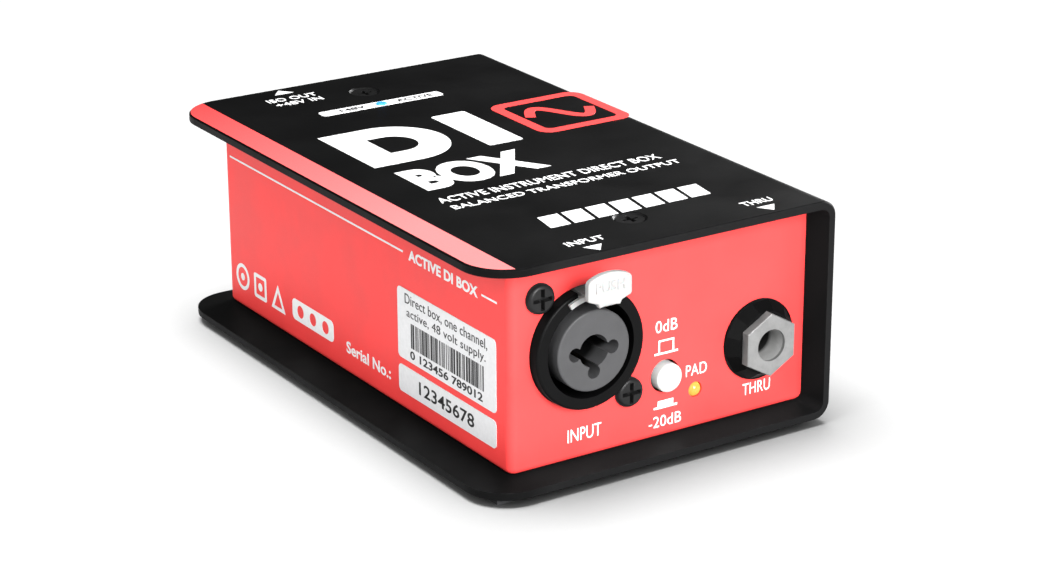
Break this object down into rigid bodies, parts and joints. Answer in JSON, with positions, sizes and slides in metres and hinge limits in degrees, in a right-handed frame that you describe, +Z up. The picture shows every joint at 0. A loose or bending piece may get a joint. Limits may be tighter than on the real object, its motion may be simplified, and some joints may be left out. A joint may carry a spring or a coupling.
{
  "type": "direct injection box",
  "caption": "Compact steel direct box: a folded chassis in a book-end shell, with a combination input socket, a through jack, a pad button and a balanced output.",
  "frame": {"origin": "centre of the outer shell's footprint, on the plane the box rests on (underside of the non-slip pad)", "axes": "+Z up, input panel facing -Y, output panel facing +Y, shell's closed side wall at +X and its open side at -X"},
  "size_m": [0.0776, 0.1241, 0.0463],
  "materials": {
    "shell_paint": "satin black powder coat",
    "chassis_paint": "fine-textured coral red powder coat",
    "pad_rubber": "matt dark grey sheet",
    "black_steel": "black oxide",
    "zinc_steel": "zinc plated",
    "nickel": "satin nickel plate",
    "socket_black": "moulded, fine texture",
    "insert_grey": "moulded, matt",
    "tab_white": "moulded white",
    "button_white": "moulded white",
    "switch_grey": "moulded",
    "amber_lens": "tinted epoxy",
    "clear_lens": "clear moulded rod",
    "clear_epoxy": "water-clear epoxy",
    "board_green": "green solder mask on glass fibre",
    "tinned": "tinned copper",
    "gold": "gold flash",
    "chip_black": "moulded epoxy",
    "can_blue": "heat-shrunk sleeve",
    "film_red": "dipped",
    "resistor_tan": "lacquer",
    "core_steel": "stacked laminations",
    "copper_wire": "enamelled copper under film",
    "bobbin_black": "moulded",
    "sticker": "satin film"
  },
  "bodies": {
    "enclosure": {"outer_shell": "shell_paint", "chassis": "chassis_paint", "non_slip_pad": "pad_rubber", "top_screws": "black_steel", "bottom_screws": "black_steel", "top_clinch_nuts": "zinc_steel", "bottom_clinch_nuts": "zinc_steel", "combo_housing": "socket_black", "combo_insert": "insert_grey", "combo_latch_pin": "zinc_steel", "combo_latch_spring": "zinc_steel", "combo_xlr_contacts": "gold", "combo_jack_springs": "tinned", "combo_screws": "black_steel", "thru_jack_body": "socket_black", "thru_jack_bushing": "nickel", "thru_jack_washer": "socket_black", "thru_jack_nut": "nickel", "thru_jack_springs": "tinned", "pad_switch_body": "switch_grey", "pad_switch_spring": "zinc_steel", "pad_switch_pins": "tinned", "ground_lift_switch_body": "switch_grey", "ground_lift_spring": "zinc_steel", "ground_lift_pins": "tinned", "pad_led": "amber_lens", "pad_led_leads": "tinned", "output_housing": "socket_black", "output_contact_pins": "gold", "output_screws": "black_steel", "light_pipe": "clear_lens", "light_pipe_holder": "socket_black", "status_led": "clear_epoxy", "transformer_core": "core_steel", "transformer_bobbin": "bobbin_black", "transformer_winding": "copper_wire", "transformer_pins": "tinned", "transformer_clamp": "zinc_steel", "clamp_screws": "zinc_steel", "clamp_nuts": "zinc_steel", "amplifier_chips": "chip_black", "chip_legs": "tinned", "electrolytic_capacitors": "can_blue", "film_capacitors": "film_red", "resistors": "resistor_tan", "main_board": "board_green", "board_standoffs": "zinc_steel", "board_screws": "zinc_steel", "barcode_label": "sticker", "serial_label": "sticker"},
    "latch": {"combo_latch": "tab_white"},
    "pad_control": {"pad_button": "button_white", "pad_plunger": "switch_grey"},
    "ground_lift_control": {"ground_lift_button": "button_white", "ground_lift_plunger": "switch_grey"}
  },
  "joints": [
    {"name": "latch_turn", "type": "hinge", "parent": "enclosure", "child": "latch", "pos_m": [-0.01395, -0.0517, 0.0362], "axis": [-1, 0, 0], "range_deg": [0, 6]},
    {"name": "pad_press", "type": "slide", "parent": "enclosure", "child": "pad_control", "axis": [0, 1, 0], "range_m": [0, 0.0015], "deforming": ["pad_switch_spring"]},
    {"name": "ground_lift_press", "type": "slide", "parent": "enclosure", "child": "ground_lift_control", "axis": [0, -1, 0], "range_m": [0, 0.0015], "deforming": ["ground_lift_spring"]}
  ]
}
